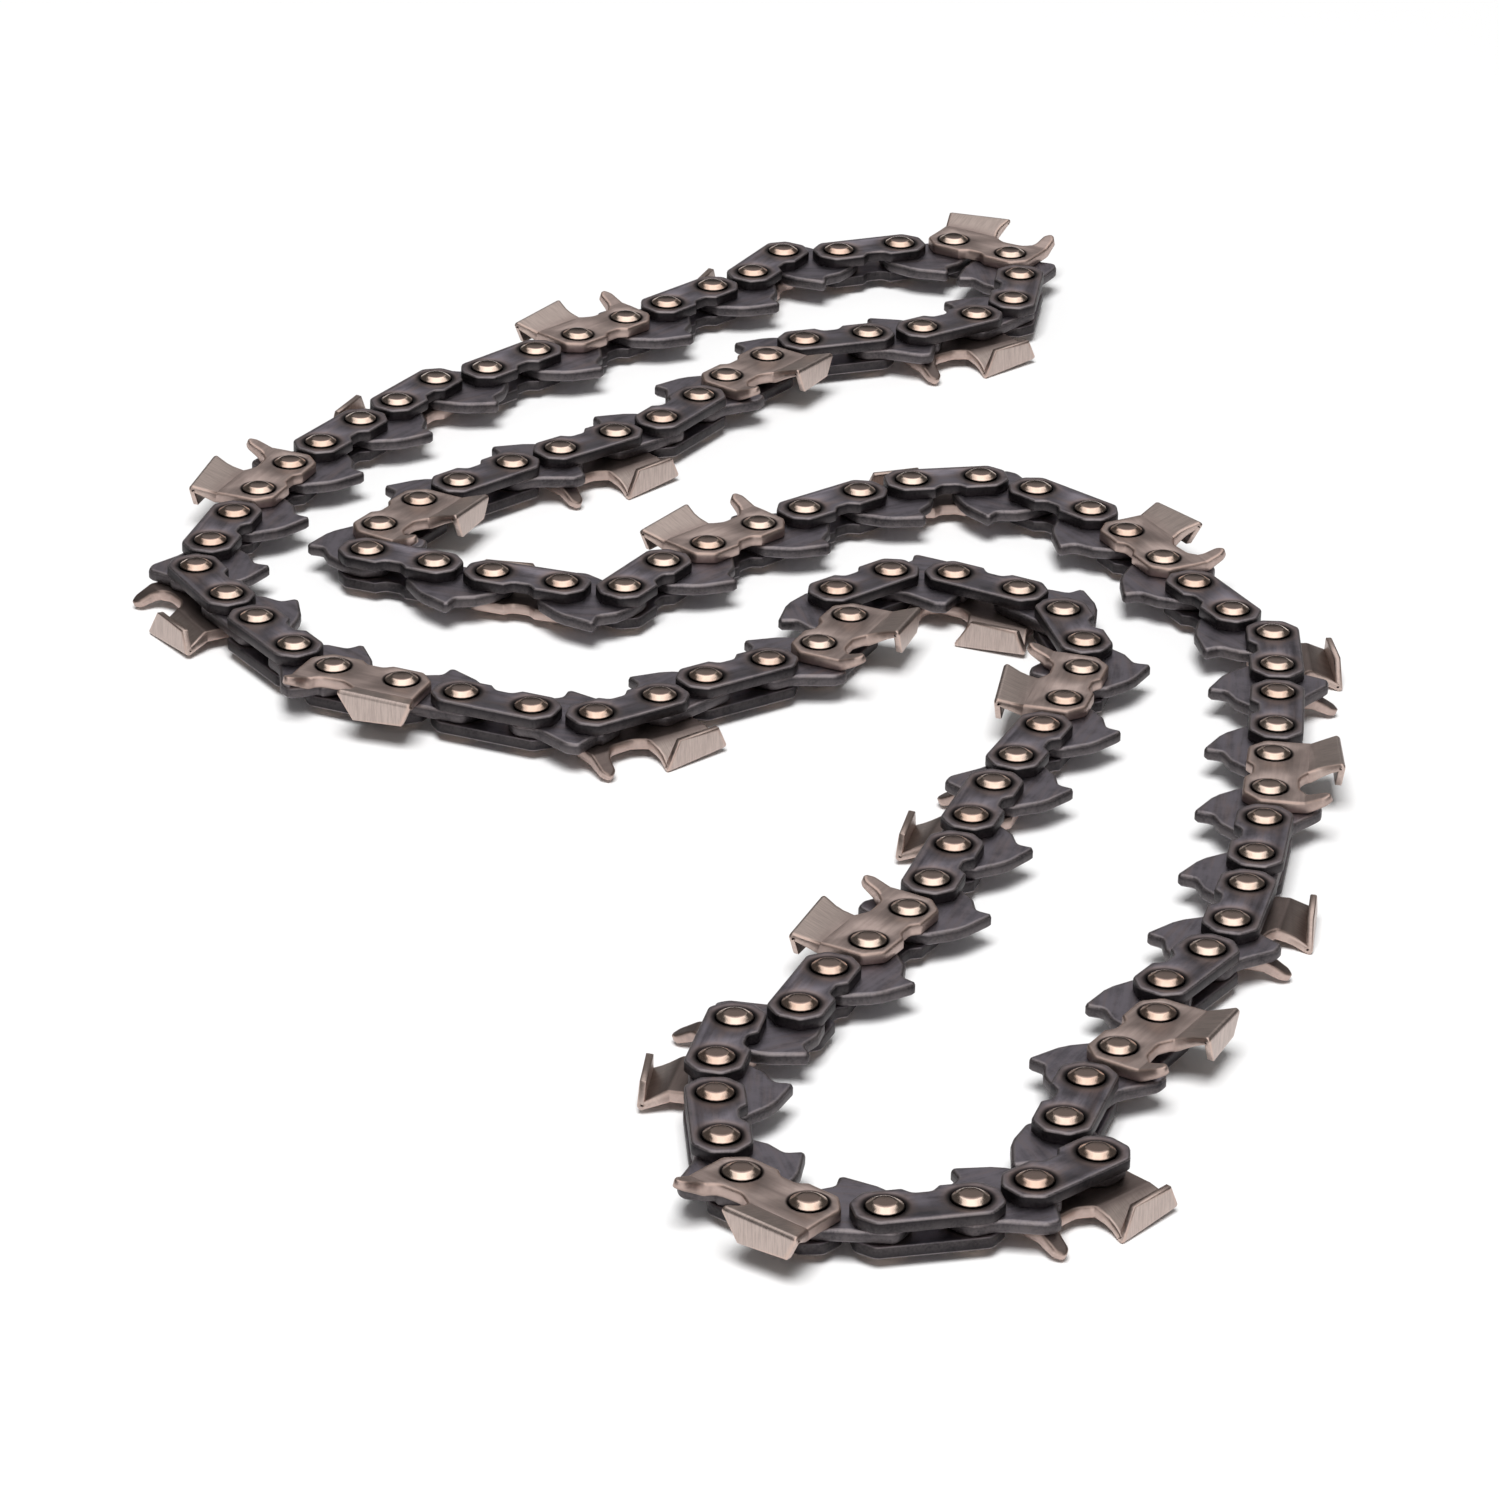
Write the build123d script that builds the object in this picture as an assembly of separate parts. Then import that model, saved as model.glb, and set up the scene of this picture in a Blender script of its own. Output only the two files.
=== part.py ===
from build123d import *
import math
import os

# Saw chain loop, millimetres. The chain lies flat on its side as a loose S.
# Local frame of every link: origin midway between its two rivets, +X against the
# running direction, +Y towards the inside of the loop (the tang side), +Z up.

# Chain standard
STRAP_SPACING = 8.87        # rivet to rivet in a tie strap or cutter
LINK_SPACING = 7.64         # rivet to rivet in a drive link
GAUGE = 1.5                 # drive link thickness, fits the bar groove
PLATE_THICKNESS = 1.4       # tie straps and cutter side plates
REPEATS = 14                # right cutter, left cutter and the plates between

# Tie strap outline
PLATE_GAP = 0.84            # between the ends of plates that follow each other
STRAP_HALF_WIDTH = 3.2
STRAP_CORNER = 1.8          # cut corners of the octagonal ends
NOTCH_WIDTH = 3.8           # waist notch on the bar side
NOTCH_FLOOR = 2.0
NOTCH_DEPTH = 1.0

# Drive link outline
EAR_END = 3.0               # link beyond the rivet centre
EAR_HALF_WIDTH = 2.9
EAR_CORNER = 1.5
TANG_TIP = 8.2              # tang tip, inward from the rivet line
TANG_TIP_X = 1.2            # tip lies behind the middle of the link
TANG_TIP_WIDTH = 0.9        # from the tip to the point of the hook
TANG_HOOK_DROP = 0.4        # point of the hook, out from the tip
TANG_SHOULDER = 4.9         # leading shoulder, inward from the rivet line
TANG_SHOULDER_X = 3.0       # leading shoulder, ahead of the middle
TANG_LEAD_FOOT = 2.9        # where the leading side leaves the body
TANG_LEAD_X = 5.4           # leading foot of the tang, ahead of the middle
TANG_TRAIL_FOOT = 3.6       # where the trailing side leaves the body
TANG_TRAIL_X = 6.2          # trailing foot of the tang, behind the middle
SCOOP_DEPTH = 2.3           # scoop under the hook, out from the tip
SCOOP_X = 0.3               # bottom of the scoop, ahead of the middle
BUMPER_RISE = 6.2           # guard hump ahead of a cutter, outward
BUMPER_CREST = 1.6          # flat on top of the hump
BUMPER_TRAIL_X = 3.2        # trailing end of the crest

# Cutter outline
CUTTER_BAR_EDGE = 3.0       # bar-side edge from the rivet line
CUTTER_CORNER = 1.9
CUTTER_BACK = 4.2           # outer edge of the side plate from the rivet line
GULLET_FLOOR = 3.8          # bottom of the gullet from the rivet line
GULLET_WIDTH = 3.4          # gullet between depth gauge and cutting edge
GULLET_MOUTH = 4.7          # top of the gullet's round, from the rivet line
DEPTH_GAUGE_RISE = 7.2      # tip of the depth gauge from the rivet line
DEPTH_GAUGE_FOOT = 2.4      # start of its ramp, from the rivet line
DEPTH_GAUGE_TIP = 1.0       # blunt tip, along the cutter

# Bent top of a cutter
CUTTER_RISE = 8.5           # top plate from the rivet line
CUTTER_SET = 1.3            # shoulder stands this far outside the side plate
SHOULDER = 6.6              # where the outward set ends, from the rivet line
TOP_WIDTH = 3.5             # top plate across the chain
TOP_THICKNESS = 0.9
TOP_LEAN = 0.15             # top plate leans in this far at its free edge
CORNER_BEVEL = 0.5          # worked corner between shoulder and top plate
EDGE_X = -1.2               # cutting corner, along the cutter
HEEL_X = 6.4                # rear of the top plate, along the cutter
EDGE_SWEEP = 25.0           # degrees, cutting edge swept back across the chain
HEEL_SWEEP = 10.0           # degrees, rear edge of the top plate

# Rivet heads
HEAD_RADIUS = 2.1
HEAD_HEIGHT = 0.95
HEAD_TAPER = 30.0           # degrees, flank of the spun head
HEAD_SIDES = 8

# The lay: rivet number and its place, in hundredths of a strap and a drive link together
LAY = {
    0: (217, 769), 1: (172, 795), 3: (77, 768), 4: (33, 757), 5: (7, 717), 11: (-202, 498),
    12: (-238, 469), 16: (-341, 299), 20: (-396, 110), 21: (-370, 63), 24: (-284, -58), 25: (-233, -77),
    28: (-94, -119), 30: (-18, -56), 32: (63, 2), 33: (86, 53), 34: (72, 97), 35: (113, 134),
    36: (160, 133), 38: (243, 75), 40: (253, -27), 44: (180, -217), 48: (121, -412), 50: (66, -494),
    51: (50, -543), 52: (8, -563), 54: (-2, -662), 56: (14, -760), 57: (53, -795), 59: (155, -785),
    61: (232, -718), 62: (220, -676), 63: (233, -628), 65: (276, -542), 66: (289, -500), 68: (334, -411),
    72: (372, -213), 77: (390, 45), 78: (362, 81), 82: (265, 253), 84: (184, 309), 85: (130, 298),
    87: (50, 240), 90: (-51, 139), 91: (-80, 98), 92: (-126, 97), 95: (-267, 150), 96: (-263, 192),
    98: (-209, 276), 102: (-61, 411), 104: (-10, 494), 106: (53, 569), 108: (143, 607), 110: (215, 671),
}

PLATE_END = (LINK_SPACING - PLATE_GAP) / 2      # plate beyond its rivet centre
PLATES = 4 * REPEATS
RIVETS = 2 * PLATES
SETTLE_SWEEPS = 4000
SETTLE_ERROR = 1e-7

# Heights of the stack: the chain rests on the shoulders of its left cutters
Z_LOWER = CUTTER_SET
Z_LINK = Z_LOWER + PLATE_THICKNESS
Z_UPPER = Z_LINK + GAUGE
Z_HEAD = Z_UPPER + PLATE_THICKNESS


def lay_guess():
    """Rivet places interpolated smoothly between the measured ones."""
    scale = (STRAP_SPACING + LINK_SPACING) / 100
    numbers = sorted(LAY)
    count = len(numbers)
    places = []
    for step in range(count):
        first = numbers[step]
        before = numbers[step - 1] - (RIVETS if step == 0 else 0)
        after = numbers[(step + 1) % count] + (RIVETS if step + 1 >= count else 0)
        beyond = numbers[(step + 2) % count] + (RIVETS if step + 2 >= count else 0)
        corners = [Vector(*LAY[n % RIVETS]) * scale for n in (before, first, after, beyond)]
        span = after - first
        slope_in = (corners[2] - corners[0]) * (span / (after - before))
        slope_out = (corners[3] - corners[1]) * (span / (beyond - first))
        for number in range(first, after):
            t = (number - first) / span
            ease = t * t * (3 - 2 * t)
            places.append(
                corners[1] * (1 - ease)
                + corners[2] * ease
                + slope_in * (t * (1 - t) ** 2)
                - slope_out * (t * t * (1 - t))
            )
    return [[place.X, place.Y] for place in places]


def settle(places):
    """Pull every link to its exact spacing, so that the loop closes."""
    for _ in range(SETTLE_SWEEPS):
        worst = 0.0
        for number in list(range(0, RIVETS, 2)) + list(range(1, RIVETS, 2)):
            a, b = places[number], places[(number + 1) % RIVETS]
            spacing = STRAP_SPACING if number % 2 == 0 else LINK_SPACING
            dx, dy = b[0] - a[0], b[1] - a[1]
            length = math.hypot(dx, dy)
            share = (length - spacing) / length / 2
            worst = max(worst, abs(length - spacing))
            a[0] += dx * share
            a[1] += dy * share
            b[0] -= dx * share
            b[1] -= dy * share
        if worst < SETTLE_ERROR:
            break
    return places


def seat(places, number, height):
    """Location of the link between a rivet and the next one."""
    a, b = places[number % RIVETS], places[(number + 1) % RIVETS]
    heading = math.degrees(math.atan2(b[1] - a[1], b[0] - a[0]))
    return Pos((a[0] + b[0]) / 2, (a[1] + b[1]) / 2, height) * Rot(0, 0, heading)


def stamped(points, thickness):
    """Flat plate punched to an outline, standing on the plane of the outline."""
    return extrude(make_face(Polyline(*points, close=True)), amount=thickness)


def waist_notch(edge):
    """Outline points of the notch in a bar-side edge, from +X to -X."""
    return [
        (NOTCH_WIDTH / 2, edge),
        (NOTCH_FLOOR / 2, edge - NOTCH_DEPTH),
        (-NOTCH_FLOOR / 2, edge - NOTCH_DEPTH),
        (-NOTCH_WIDTH / 2, edge),
    ]


def tie_strap():
    """Plain side plate with octagonal ends."""
    end = STRAP_SPACING / 2 + PLATE_END
    side = STRAP_HALF_WIDTH
    outline = [
        (-end + STRAP_CORNER, -side),
        (end - STRAP_CORNER, -side),
        (end, -side + STRAP_CORNER),
        (end, side - STRAP_CORNER),
        (end - STRAP_CORNER, side),
        *waist_notch(side),
        (-end + STRAP_CORNER, side),
        (-end, side - STRAP_CORNER),
        (-end, -side + STRAP_CORNER),
    ]
    return stamped(outline, PLATE_THICKNESS)


def drive_link(guarded):
    """Centre link with a hooked tang, and a guard hump where one is wanted."""
    end = LINK_SPACING / 2 + EAR_END
    hook_x = TANG_TIP_X - TANG_TIP_WIDTH
    outline = [
        (end - EAR_CORNER, -EAR_HALF_WIDTH),
        (end, 0),
        (TANG_TRAIL_X, TANG_TRAIL_FOOT),
        (TANG_TIP_X, TANG_TIP),
        (hook_x, TANG_TIP - TANG_HOOK_DROP),
        (-SCOOP_X, TANG_TIP - SCOOP_DEPTH),
        (-TANG_SHOULDER_X, TANG_SHOULDER),
        (-TANG_LEAD_X, TANG_LEAD_FOOT),
        (-end, 0),
        (-end + EAR_CORNER, -EAR_HALF_WIDTH),
    ]
    if guarded:
        outline += [
            (BUMPER_TRAIL_X - BUMPER_CREST, -BUMPER_RISE),
            (BUMPER_TRAIL_X, -BUMPER_RISE),
            (BUMPER_TRAIL_X + BUMPER_CREST, -EAR_HALF_WIDTH),
        ]
    return stamped(outline, GAUGE)


def cutter_side_plate():
    """Side plate with its depth gauge and the gullet behind it."""
    end = STRAP_SPACING / 2 + PLATE_END
    root = EDGE_X - GULLET_WIDTH
    outline = [
        (HEEL_X, -CUTTER_BACK),
        (end, -CUTTER_BACK + CUTTER_CORNER),
        (end, CUTTER_BAR_EDGE - CUTTER_CORNER),
        (end - CUTTER_CORNER, CUTTER_BAR_EDGE),
        *waist_notch(CUTTER_BAR_EDGE),
        (-end + CUTTER_CORNER, CUTTER_BAR_EDGE),
        (-end, CUTTER_BAR_EDGE - CUTTER_CORNER),
        (-end, -DEPTH_GAUGE_FOOT),
        (root - DEPTH_GAUGE_TIP, -DEPTH_GAUGE_RISE),
        (root, -DEPTH_GAUGE_RISE + DEPTH_GAUGE_TIP / 2),
        (root, -GULLET_MOUTH),
        (root + GULLET_WIDTH / 3, -GULLET_FLOOR),
        (EDGE_X - GULLET_WIDTH / 3, -GULLET_FLOOR),
        (EDGE_X, -CUTTER_BACK),
    ]
    return stamped(outline, PLATE_THICKNESS)


def cutter_top():
    """Shoulder and top plate: one bent section, trimmed to its swept edges."""
    outside = PLATE_THICKNESS + CUTTER_SET
    free_edge = outside - TOP_WIDTH
    under = outside - TOP_THICKNESS
    section = [
        (-GULLET_FLOOR, 0),
        (-GULLET_FLOOR, PLATE_THICKNESS),
        (-CUTTER_BACK, PLATE_THICKNESS),
        (-SHOULDER, outside),
        (-CUTTER_RISE + CORNER_BEVEL, outside),
        (-CUTTER_RISE, outside - CORNER_BEVEL),
        (-CUTTER_RISE + TOP_LEAN, free_edge),
        (-CUTTER_RISE + TOP_LEAN + TOP_THICKNESS, free_edge),
        (-CUTTER_RISE + TOP_THICKNESS, under),
        (-SHOULDER, under),
        (-CUTTER_BACK, 0),
    ]
    length = HEEL_X - EDGE_X
    bent = Pos(EDGE_X, 0, 0) * extrude(
        Plane.YZ * make_face(Polyline(*section, close=True)), amount=length
    )
    sweep = TOP_WIDTH * math.tan(math.radians(EDGE_SWEEP))
    heel = TOP_WIDTH * math.tan(math.radians(HEEL_SWEEP))
    trim = [
        (EDGE_X, outside),
        (HEEL_X, outside),
        (HEEL_X - heel, free_edge),
        (EDGE_X + sweep, free_edge),
    ]
    blank = extrude(Plane.XZ * make_face(Polyline(*trim, close=True)), amount=CUTTER_RISE)
    return bent & blank


def right_cutter():
    """Cutter of the upper row: side plate and bent top in one piece."""
    return cutter_side_plate() + cutter_top()


def rivet_head():
    """Head of a rivet, standing on the upper plate."""
    return extrude(RegularPolygon(HEAD_RADIUS, HEAD_SIDES), amount=HEAD_HEIGHT, taper=HEAD_TAPER)


def chain_pieces():
    """Every node of the laid chain with its separate solids."""
    places = settle(lay_guess())
    strap = tie_strap()
    plain_link = drive_link(guarded=False)
    guard_link = drive_link(guarded=True)
    cutter = right_cutter()
    mirrored_cutter = mirror(cutter, about=Plane.XY)
    head = rivet_head()

    nodes = {}
    for repeat in range(REPEATS):
        tag = f"{repeat + 1:02d}"
        straps = []
        links = []
        for place in range(4):
            plate = 4 * repeat + place
            upper = seat(places, 2 * plate, Z_UPPER)
            lower = seat(places, 2 * plate, Z_LOWER)
            if place == 0:
                nodes[f"right_cutter_{tag}"] = [upper * cutter]
            else:
                straps.append(upper * strap)
            if place == 2:
                nodes[f"left_cutter_{tag}"] = [seat(places, 2 * plate, Z_LINK) * mirrored_cutter]
            else:
                straps.append(lower * strap)
            link = guard_link if plate % 2 else plain_link
            links.append(seat(places, 2 * plate + 1, Z_LINK) * link)
        nodes[f"tie_straps_{tag}"] = straps
        nodes[f"drive_links_{tag}"] = links
    nodes["rivet_heads"] = [Pos(x, y, Z_HEAD) * head for x, y in places]
    return nodes


def centred(nodes):
    """Shift the chain so that its box is centred over the origin."""
    box = Compound([s for group in nodes.values() for s in group]).bounding_box()
    shift = Pos(-box.center().X, -box.center().Y, 0)
    return {name: [shift * solid for solid in group] for name, group in nodes.items()}


def main():
    """Write one file for each node."""
    os.makedirs("parts", exist_ok=True)
    for name, group in centred(chain_pieces()).items():
        solids = [solid for piece in group for solid in piece.solids()]
        export_step(Compound(solids, label=name), f"parts/{name}.step")


if __name__ == "__main__":
    main()
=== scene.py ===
"""Looks of a saw chain loop that lies on its side in a loose S.

Every link is stamped once as a detailed mesh, set along the lay by Geometry Nodes and given a
procedural finish. Lengths are millimetres until a mesh or a light is made, which is in metres.
"""

import logging
import math
import random
from abc import ABC, abstractmethod
from dataclasses import dataclass
from enum import Enum
from typing import Any, Iterable, Sequence, Union

import bmesh
import bpy
from bmesh.types import BMEdge, BMVert, BMesh
from bpy.types import ID, Material, Mesh, NodeSocket, NodeTree, Object
from mathutils import Matrix, Vector


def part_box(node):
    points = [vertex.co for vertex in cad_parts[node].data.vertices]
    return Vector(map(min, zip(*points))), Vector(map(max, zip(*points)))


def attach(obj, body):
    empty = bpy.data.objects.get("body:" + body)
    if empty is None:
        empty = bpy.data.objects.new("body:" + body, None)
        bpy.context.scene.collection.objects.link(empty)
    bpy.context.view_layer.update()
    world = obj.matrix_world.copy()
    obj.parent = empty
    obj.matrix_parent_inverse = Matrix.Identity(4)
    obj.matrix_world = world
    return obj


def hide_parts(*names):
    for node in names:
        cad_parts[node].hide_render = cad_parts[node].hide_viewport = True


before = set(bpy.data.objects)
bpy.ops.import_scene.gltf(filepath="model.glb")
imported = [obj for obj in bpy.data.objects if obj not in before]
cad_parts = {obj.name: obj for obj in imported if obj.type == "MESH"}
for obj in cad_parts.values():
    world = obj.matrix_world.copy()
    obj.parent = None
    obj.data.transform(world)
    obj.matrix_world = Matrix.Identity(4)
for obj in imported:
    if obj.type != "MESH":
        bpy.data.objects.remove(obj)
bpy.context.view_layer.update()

LOG = logging.getLogger("saw_chain")
MM = 0.001
IMAGE_SIDE = 1499
SEED = 7

# Moves the patterns of one link away from those of the others
PATTERN_SHIFT = 61.0

# The lay: rivet number and its place, in hundredths of a strap and a drive link together
LAY = {
    0: (217, 769), 1: (172, 795), 3: (77, 768), 4: (33, 757), 5: (7, 717), 11: (-202, 498),
    12: (-238, 469), 16: (-341, 299), 20: (-396, 110), 21: (-370, 63), 24: (-284, -58), 25: (-233, -77),
    28: (-94, -119), 30: (-18, -56), 32: (63, 2), 33: (86, 53), 34: (72, 97), 35: (113, 134),
    36: (160, 133), 38: (243, 75), 40: (253, -27), 44: (180, -217), 48: (121, -412), 50: (66, -494),
    51: (50, -543), 52: (8, -563), 54: (-2, -662), 56: (14, -760), 57: (53, -795), 59: (155, -785),
    61: (232, -718), 62: (220, -676), 63: (233, -628), 65: (276, -542), 66: (289, -500), 68: (334, -411),
    72: (372, -213), 77: (390, 45), 78: (362, 81), 82: (265, 253), 84: (184, 309), 85: (130, 298),
    87: (50, 240), 90: (-51, 139), 91: (-80, 98), 92: (-126, 97), 95: (-267, 150), 96: (-263, 192),
    98: (-209, 276), 102: (-61, 411), 104: (-10, 494), 106: (53, 569), 108: (143, 607), 110: (215, 671),
}
SETTLE_SWEEPS = 4000
SETTLE_ERROR = 1e-7


class Row(Enum):
    """Which side of the drive links a plate lies on."""

    UPPER = 1
    LOWER = -1


class Slot(Enum):
    """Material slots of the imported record."""

    BLUED = "blued_steel"
    CUTTER = "cutter_steel"
    RIVET = "rivet_steel"


class Mark(Enum):
    """Names of the mesh attributes that the rows and finishes read."""

    PLACE = "link_place"
    # Edge wear on plates; on rivets the head's rise, which places their painted highlight and painted
    # shade.
    WEAR = "edge_wear"
    WALL = "cut_wall"
    PLATING = "plating"
    TONE = "tone"
    HEADING = "heading"


@dataclass(frozen=True)
class ChainSizes:
    """Sizes that the links share, as in the solids."""

    strap_spacing: float = 8.87
    link_spacing: float = 7.64
    gauge: float = 1.5
    plate: float = 1.4
    cutter_set: float = 1.3
    plate_gap: float = 0.84
    head_height: float = 0.57
    repeats: int = 14
    plates_per_repeat: int = 4

    @property
    def plates(self) -> int:
        """Number of plate pairs."""
        return self.plates_per_repeat * self.repeats

    @property
    def rivets(self) -> int:
        """Number of rivets."""
        return 2 * self.plates

    @property
    def plate_half(self) -> float:
        """Half the length of a side plate."""
        return self.strap_spacing / 2 + (self.link_spacing - self.plate_gap) / 2

    @property
    def link_floor(self) -> float:
        """Height of the drive links' underside."""
        return self.cutter_set + self.plate

    @property
    def link_top(self) -> float:
        """Height of the drive links' upper side."""
        return self.link_floor + self.gauge


@dataclass(frozen=True)
class Seat:
    """Where a link lies: its middle and its heading in radians."""

    x: float
    y: float
    heading: float


class Lay:
    """Rivet places of the closed loop, and the seats of the links between them."""

    def __init__(self, sizes: ChainSizes) -> None:
        """Work out the rivet places.

        Args:
            sizes: Sizes that the links share.
        """
        self.sizes = sizes
        self.places = self._settle(self._guess())
        self._align()

    def _guess(self) -> list[list[float]]:
        """Interpolate smoothly between the chosen rivets.

        Returns:
            A place for each rivet, not yet at its exact spacing.
        """
        sizes = self.sizes
        scale = (sizes.strap_spacing + sizes.link_spacing) / 100
        numbers = sorted(LAY)
        count = len(numbers)
        places = []
        round_trip = [numbers[i % count] + sizes.rivets * (i // count) for i in range(-1, count + 2)]
        for before, first, after, beyond in zip(*[round_trip[start:] for start in range(4)]):
            corners = [Vector(LAY[n % sizes.rivets]) * scale for n in (before, first, after, beyond)]
            span = after - first
            slope_in = (corners[2] - corners[0]) * (span / (after - before))
            slope_out = (corners[3] - corners[1]) * (span / (beyond - first))
            for number in range(first, after):
                t = (number - first) / span
                ease = t * t * (3 - 2 * t)
                place = corners[1] * (1 - ease) + corners[2] * ease
                place += slope_in * (t * (1 - t) ** 2) - slope_out * (t * t * (1 - t))
                places.append([place.x, place.y])
        return places

    def _settle(self, places: list[list[float]]) -> list[list[float]]:
        """Pull every link to its exact spacing.

        Args:
            places: First guess of the rivet places, changed in place.

        Returns:
            The settled places.
        """
        sizes = self.sizes
        order = list(range(0, sizes.rivets, 2)) + list(range(1, sizes.rivets, 2))
        for _ in range(SETTLE_SWEEPS):
            worst = 0.0
            for number in order:
                a, b = places[number], places[(number + 1) % sizes.rivets]
                spacing = sizes.link_spacing if number % 2 else sizes.strap_spacing
                dx, dy = b[0] - a[0], b[1] - a[1]
                length = math.hypot(dx, dy)
                share = (length - spacing) / length / 2
                worst = max(worst, abs(length - spacing))
                a[0] += dx * share
                a[1] += dy * share
                b[0] -= dx * share
                b[1] -= dy * share
            if worst < SETTLE_ERROR:
                break
        return places

    def _align(self) -> None:
        """Shift the places onto the rivets of the frame."""
        low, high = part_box("rivet_heads")
        for axis in range(2):
            shift = (low[axis] + high[axis]) / 2 / MM - self.middle(axis)
            for place in self.places:
                place[axis] += shift

    def middle(self, axis: int) -> float:
        """Middle of the rivet centres along an axis."""
        values = [place[axis] for place in self.places]
        return (min(values) + max(values)) / 2

    def between(self, number: int) -> Seat:
        """Seat of the link between a rivet and the next one.

        Args:
            number: The rivet at the link's near end.

        Returns:
            The link's seat.
        """
        a = self.places[number % self.sizes.rivets]
        b = self.places[(number + 1) % self.sizes.rivets]
        heading = math.atan2(b[1] - a[1], b[0] - a[0])
        return Seat((a[0] + b[0]) / 2, (a[1] + b[1]) / 2, heading)

    def links(self, turns: Sequence[int], after: int = 0) -> list[Seat]:
        """Seats of the side plates at some turns of every repeat, or of the drive links one after."""
        repeat = self.sizes.plates_per_repeat
        return [self.between(2 * k + after) for k in range(self.sizes.plates) if k % repeat in turns]

    def rivets(self) -> list[Seat]:
        """Seats of the rivets, each turned with the plate that it holds."""
        return [Seat(x, y, self.between(n - n % 2).heading) for n, (x, y) in enumerate(self.places)]


@dataclass(frozen=True)
class Corner:
    """Corner of an outline, with the radius that rounds it."""

    x: float
    y: float
    radius: float = 0.0


@dataclass(frozen=True)
class Bend:
    """Arc that rounds one corner of an outline, or the bare corner where its radius is zero."""

    corner: Vector
    mitre: Vector
    centre: Vector
    radius: float
    spokes: tuple[Vector, ...]
    convex: bool

    def at(self, distance: float) -> list[Vector]:
        """Points of the arc on the outline moved inwards.

        Args:
            distance: How far the outline moves.

        Returns:
            As many points for any distance, all in the corner where the arc has closed up.
        """
        radius = self.radius - distance if self.convex else self.radius + distance
        if self.radius <= 0 or radius <= 0:
            return [self.corner + self.mitre * distance] * len(self.spokes)
        return [self.centre + spoke * radius for spoke in self.spokes]


class Outline:
    """Closed outline with rounded corners, anticlockwise."""

    longest: float = 0.48
    straight: float = 1e-3

    def __init__(self, corners: Sequence[Corner], step: float = math.radians(30)) -> None:
        """Work out the arc of each corner.

        Args:
            corners: Corners in order.
            step: Largest turn from one point of an arc to the next, in radians.
        """
        count = len(corners)
        places = [Vector((corner.x, corner.y)) for corner in corners]
        self.bends = [
            self._bend(places[i - 1], places[i], places[(i + 1) % count], corners[i].radius, step)
            for i in range(count)
        ]

    def _bend(self, before: Vector, here: Vector, after: Vector, radius: float, step: float) -> Bend:
        """Arc that touches both edges of a corner.

        Args:
            before: The corner before it.
            here: The corner.
            after: The corner after it.
            radius: Radius of the arc, made smaller where the edges are short.
            step: Largest turn from one point of the arc to the next, in radians.

        Returns:
            The arc.
        """
        back, ahead = before - here, after - here
        inward = [Vector((back.y, -back.x)).normalized(), Vector((-ahead.y, ahead.x)).normalized()]
        mitre = (inward[0] + inward[1]) / (1 + inward[0].dot(inward[1]))
        turn = math.pi - back.angle(ahead)
        convex = ahead.x * back.y - ahead.y * back.x > 0
        if radius <= 0 or turn < self.straight:
            return Bend(here, mitre, here, 0.0, (Vector((0.0, 0.0)),), convex)
        reach = min(radius * math.tan(turn / 2), self.longest * back.length, self.longest * ahead.length)
        radius = reach / math.tan(turn / 2)
        start = here + back.normalized() * reach
        centre = start + inward[0] * (radius if convex else -radius)
        parts = max(1, math.ceil(turn / step))
        spokes = []
        for part in range(parts + 1):
            spoke = (start - centre).normalized()
            spoke.rotate(Matrix.Rotation((turn if convex else -turn) * part / parts, 2))
            spokes.append(spoke)
        return Bend(here, mitre, centre, radius, tuple(spokes), convex)

    def ring(self, distance: float) -> list[Vector]:
        """Points of the outline moved inwards.

        Args:
            distance: How far each edge moves.

        Returns:
            As many points for any distance.
        """
        return [point for bend in self.bends for point in bend.at(distance)]


def folded_section(corners: Sequence[Corner], step: float = math.radians(20)) -> list[Vector]:
    """Follow an open section, with an arc at each inner corner.

    Args:
        corners: Corners in order.
        step: Largest turn from one point of an arc to the next, in radians.

    Returns:
        Points of the section.
    """
    bends = Outline(corners, step).bends[1:-1]
    inner = [point for bend in bends for point in bend.at(0.0)]
    first, last = corners[0], corners[-1]
    return [Vector((first.x, first.y)), *inner, Vector((last.x, last.y))]


def fraction(value: float, low: float, high: float) -> float:
    """How far a value lies between two others, from 0 to 1."""
    return min(1.0, max(0.0, (value - low) / (high - low)))


def put(name: str, data: ID) -> Object:
    """Add an object to the scene."""
    thing = bpy.data.objects.new(name, data)
    bpy.context.scene.collection.objects.link(thing)
    return thing


def bridge(shell: BMesh, loops: Sequence[Sequence[BMVert]]) -> None:
    """Join each ring of points to the next by quads.

    Args:
        shell: What the rings belong to.
        loops: The rings in order, all with as many points.
    """
    for low, high in zip(loops, loops[1:]):
        for index in range(len(low)):
            after = (index + 1) % len(low)
            shell.faces.new((low[index], low[after], high[after], high[index]))


def plain_mesh(shell: BMesh, name: str) -> Mesh:
    """Turn a shell in millimetres into a smooth-shaded mesh in metres.

    Args:
        shell: The shell, which is freed.
        name: Name of the mesh.

    Returns:
        The mesh.
    """
    bmesh.ops.recalc_face_normals(shell, faces=shell.faces)
    bmesh.ops.scale(shell, vec=(MM, MM, MM), verts=shell.verts)
    mesh = bpy.data.meshes.new(name)
    shell.to_mesh(mesh)
    shell.free()
    mesh.shade_smooth()
    return mesh


@dataclass(frozen=True)
class Hole:
    """Rivet hole with a countersunk mouth."""

    x: float
    y: float
    radius: float
    mouth: float
    sink: float


@dataclass(frozen=True)
class Ring:
    """Ring of a plate's surface: its inset from the outline, height, wear and share of cut wall."""

    inset: float
    height: float
    wear_and_rise: float
    wall: float = 0.0


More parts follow.
